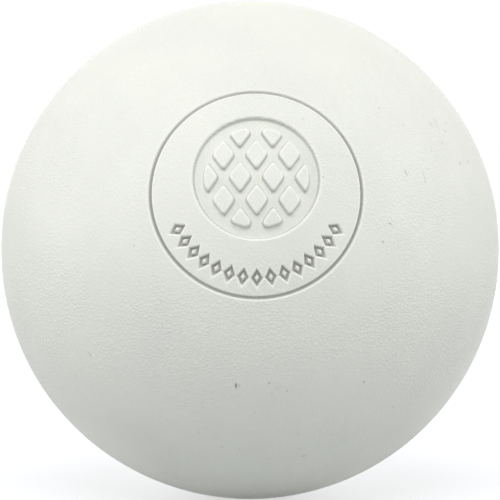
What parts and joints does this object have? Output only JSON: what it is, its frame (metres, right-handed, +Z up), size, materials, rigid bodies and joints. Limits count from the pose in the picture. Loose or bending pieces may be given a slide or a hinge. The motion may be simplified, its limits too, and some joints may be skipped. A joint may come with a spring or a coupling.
{
  "type": "lacrosse ball",
  "caption": "Solid white rubber ball for lacrosse, with an engraved ring, a round net emblem and a chain of lozenges on one half, and a fine parting seam around its middle.",
  "frame": {"origin": "centre of the ball", "axes": "+Z up as the ball lies; the marked half faces -Y, and the mark's axis is rolled up from -Y by 15 degrees towards +Z; +X is to the right of someone who faces the mark"},
  "size_m": [0.064, 0.064, 0.064],
  "materials": {
    "core_rubber": "matte",
    "white_rubber": "matte"
  },
  "bodies": {
    "root": {"core": "core_rubber", "marked_half_cover": "white_rubber", "plain_half_cover": "white_rubber"}
  },
  "joints": []
}
